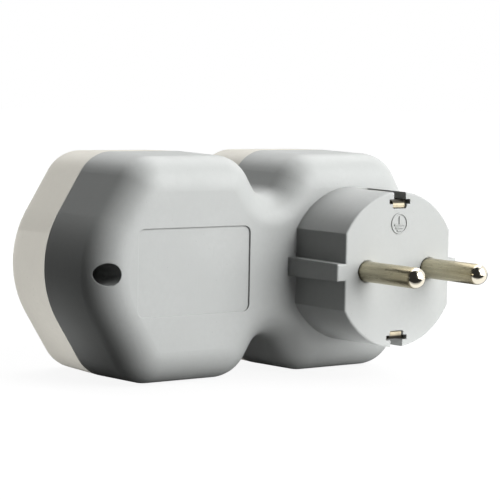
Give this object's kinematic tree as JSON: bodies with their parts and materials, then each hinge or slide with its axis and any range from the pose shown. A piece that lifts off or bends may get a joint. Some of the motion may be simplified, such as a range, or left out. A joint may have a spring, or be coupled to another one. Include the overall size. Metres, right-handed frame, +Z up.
{
  "type": "usb socket adapter",
  "caption": "Two-lobed plug-in mains adapter: earthed plug on the grey rear half, earthed socket and stacked USB outlets on the white front half, with a charger inside.",
  "frame": {"origin": "middle of the plug's face, midway between the pins", "axes": "+Y out of the plug along its pins, +Z up, +X from the plug lobe towards the charger lobe; the socket and the USB outlets face -Y"},
  "size_m": [0.0982, 0.0782, 0.0526],
  "materials": {
    "grey_plastic": "fine satin moulding",
    "white_plastic": "fine satin moulding",
    "nickel": "nickel-plated, satin shank and polished tip",
    "brass_strip": "stamped strip",
    "screw_steel": "zinc-plated",
    "board": "lacquered laminate",
    "usb_steel": "bright plated sheet",
    "usb_block": "moulded",
    "gilt": "gold-flashed",
    "ferrite": "sintered",
    "winding_tape": "wound tape",
    "capacitor_sleeve": "shrunk sleeve",
    "package": "moulded",
    "resistor_body": "lacquered",
    "disc_body": "dipped",
    "line_insulation": "drawn",
    "neutral_insulation": "drawn"
  },
  "bodies": {
    "root": {"rear_housing": "grey_plastic", "front_cover": "white_plastic", "line_pin": "nickel", "neutral_pin": "nickel", "line_contact": "brass_strip", "neutral_contact": "brass_strip", "earth_strip_upper": "brass_strip", "earth_strip_lower": "brass_strip", "earth_bridge": "brass_strip", "housing_screws": "screw_steel", "charger_board": "board", "usb_shell_upper": "usb_steel", "usb_shell_lower": "usb_steel", "usb_tongue_upper": "usb_block", "usb_tongue_lower": "usb_block", "usb_contacts": "gilt", "transformer_core": "ferrite", "transformer_coil": "winding_tape", "input_capacitor": "capacitor_sleeve", "output_capacitor": "capacitor_sleeve", "bridge_rectifier": "package", "switching_chip": "package", "fuse_resistor": "resistor_body", "safety_capacitor": "disc_body", "line_lead": "line_insulation", "neutral_lead": "neutral_insulation"}
  },
  "joints": []
}
